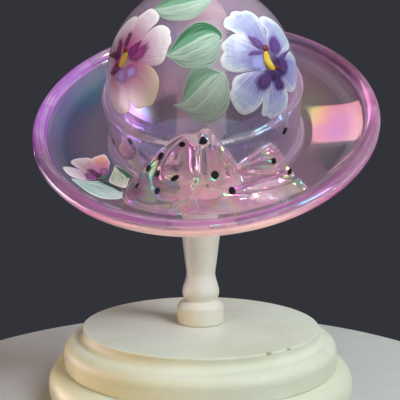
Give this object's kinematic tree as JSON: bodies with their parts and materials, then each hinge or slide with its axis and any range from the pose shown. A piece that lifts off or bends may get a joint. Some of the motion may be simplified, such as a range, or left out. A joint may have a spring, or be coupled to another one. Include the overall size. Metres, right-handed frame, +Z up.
{
  "type": "glass hat on a display stand",
  "caption": "Clear mauve pressed-glass hat with a draped bow, band and enamel pansies, resting tilted on a turned ivory-painted wooden display stand.",
  "frame": {"origin": "centre of the underside of the base, on the surface that the stand rests on", "axes": "+Z up along the post, -Y the way that the bow and the tilted hat face, +X to the viewer's right"},
  "size_m": [0.1925, 0.1673, 0.2242],
  "materials": {
    "mauve_glass": "clear pressed glass, mauve tint, lustred",
    "bow_glass": "thick clear pressed glass, pink tint, lustred",
    "blue_enamel": "fired enamel, satin",
    "rose_enamel": "fired enamel, satin",
    "leaf_enamel": "fired enamel, satin",
    "bud_enamel": "fired enamel, satin",
    "mint_enamel": "fired enamel, satin",
    "dot_enamel": "fired black enamel, gloss",
    "cap_felt": "pressed wool felt",
    "ivory_paint": "turned wood under satin ivory paint",
    "screw_steel": "zinc-plated",
    "base_felt": "pressed felt"
  },
  "bodies": {
    "stand": {"post": "ivory_paint", "upper_disc": "ivory_paint", "lower_disc": "ivory_paint", "post_screw": "screw_steel", "disc_screws": "screw_steel", "base_pad": "base_felt"},
    "cap": {"felt_cap": "cap_felt"},
    "hat": {"crown": "mauve_glass", "hat_band": "mauve_glass", "brim": "mauve_glass", "bow": "bow_glass", "right_pansy": "blue_enamel", "left_pansy": "rose_enamel", "crown_leaves": "leaf_enamel", "brim_bud": "bud_enamel", "brim_leaves": "mint_enamel"}
  },
  "joints": [
    {"name": "hat_turn", "type": "hinge", "parent": "stand", "child": "cap", "pos_m": [0, 0, 0.2], "axis": [0, 0, 1], "continuous": true},
    {"name": "hat_lift", "type": "slide", "parent": "cap", "child": "hat", "axis": [0, 0, 1], "range_m": [0, 0.125]}
  ]
}
